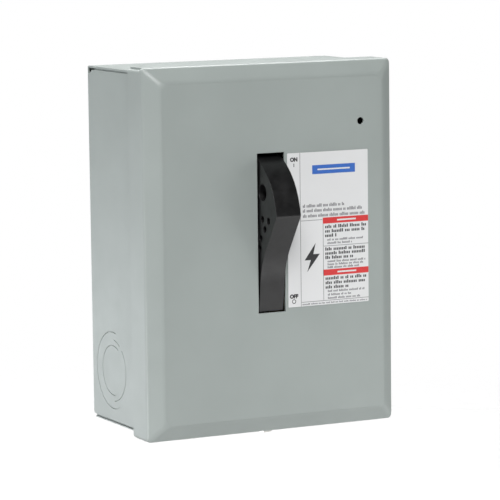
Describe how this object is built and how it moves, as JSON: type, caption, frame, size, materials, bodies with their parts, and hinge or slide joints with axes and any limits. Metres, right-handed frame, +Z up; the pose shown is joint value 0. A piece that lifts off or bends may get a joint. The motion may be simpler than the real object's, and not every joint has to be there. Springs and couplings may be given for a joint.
{
  "type": "ac disconnect box",
  "caption": "Wall-mounted AC disconnect box: a painted sheet-steel enclosure with a top-hooked cover, a rocking front handle and a fused knife switch inside.",
  "frame": {"origin": "on the enclosure's back face, midway across the cover and midway up it", "axes": "+X to the right as seen from the front, +Y into the wall, +Z up"},
  "size_m": [0.154, 0.104, 0.2078],
  "materials": {
    "grey_paint": "satin powder coat, light grey-green",
    "label_white": "printed vinyl label",
    "black_plastic": "moulded, fine texture",
    "base_plastic": "moulded phenolic",
    "zinc_steel": "zinc plated",
    "copper": "bare copper",
    "ferrule_brass": "polished ferrule",
    "aluminium": "plated aluminium",
    "fuse_tube": "vulcanised fibre tube",
    "green_steel": "green grounding screw",
    "insulator": "moulded nylon"
  },
  "bodies": {
    "enclosure": {"enclosure": "grey_paint", "knockout_left": "grey_paint", "knockout_right": "grey_paint", "knockout_bottom_left": "grey_paint", "knockout_bottom_right": "grey_paint", "switch_base": "base_plastic", "base_screw_top": "zinc_steel", "base_screw_bottom": "zinc_steel", "mechanism_frame": "zinc_steel", "frame_screw_top": "zinc_steel", "frame_screw_bottom": "zinc_steel", "handle_pin": "zinc_steel", "spring_anchor": "zinc_steel", "line_jaw_left": "copper", "hinge_clip_left": "copper", "load_clip_left": "copper", "hinge_rivet_left": "zinc_steel", "line_lug_left": "aluminium", "load_lug_left": "aluminium", "line_screw_left": "zinc_steel", "load_screw_left": "zinc_steel", "line_jaw_right": "copper", "hinge_clip_right": "copper", "load_clip_right": "copper", "hinge_rivet_right": "zinc_steel", "line_lug_right": "aluminium", "load_lug_right": "aluminium", "line_screw_right": "zinc_steel", "load_screw_right": "zinc_steel", "fuse_left_cap_top": "ferrule_brass", "fuse_left_tube": "fuse_tube", "fuse_left_cap_bottom": "ferrule_brass", "fuse_right_cap_top": "ferrule_brass", "fuse_right_tube": "fuse_tube", "fuse_right_cap_bottom": "ferrule_brass", "neutral_support": "insulator", "neutral_bar": "aluminium", "neutral_screw_top": "zinc_steel", "neutral_screw_bottom": "zinc_steel", "ground_bar": "aluminium", "ground_screw_top": "green_steel", "ground_screw_bottom": "green_steel"},
    "handle": {"handle": "black_plastic", "drive_pin": "zinc_steel"},
    "drive_link": {"drive_link": "zinc_steel"},
    "blades": {"crossbar": "black_plastic", "crossbar_pin": "zinc_steel", "blade_left": "copper", "blade_right": "copper"},
    "toggle_spring": {"toggle_spring": "zinc_steel"},
    "cover": {"cover": "grey_paint", "label": "label_white", "cover_screw_nut": "zinc_steel"},
    "cover_screw": {"cover_screw": "zinc_steel"}
  },
  "joints": [
    {"name": "handle_hinge", "type": "hinge", "parent": "enclosure", "child": "handle", "pos_m": [0, -0.0648, 0.0149], "axis": [1, 0, 0], "range_deg": [0, 40]},
    {"name": "link_hinge", "type": "hinge", "parent": "handle", "child": "drive_link", "pos_m": [0, -0.0708, 0.02529], "axis": [1, 0, 0], "range_deg": [-40, 0]},
    {"name": "blades_hinge", "type": "hinge", "parent": "enclosure", "child": "blades", "pos_m": [0, -0.03, 0.01], "axis": [1, 0, 0], "range_deg": [0, 40]},
    {"name": "spring_hinge", "type": "hinge", "parent": "enclosure", "child": "toggle_spring", "pos_m": [-0.0205, -0.04641, -0.00053], "axis": [1, 0, 0], "range_deg": [0, 13.3]},
    {"name": "cover_hinge", "type": "hinge", "parent": "enclosure", "child": "cover", "pos_m": [0, -0.0587, 0.1013], "axis": [-1, 0, 0], "range_deg": [0, 90]},
    {"name": "cover_screw_turn", "type": "hinge", "parent": "cover", "child": "cover_screw", "pos_m": [0, -0.067, -0.103], "axis": [0, 0, 1], "continuous": true}
  ],
  "couplings": [
    {"joint": "link_hinge", "follows": "handle_hinge", "ratio": -1},
    {"joint": "blades_hinge", "follows": "handle_hinge", "ratio": 1},
    {"joint": "spring_hinge", "follows": "handle_hinge", "ratio": 0.33181}
  ]
}
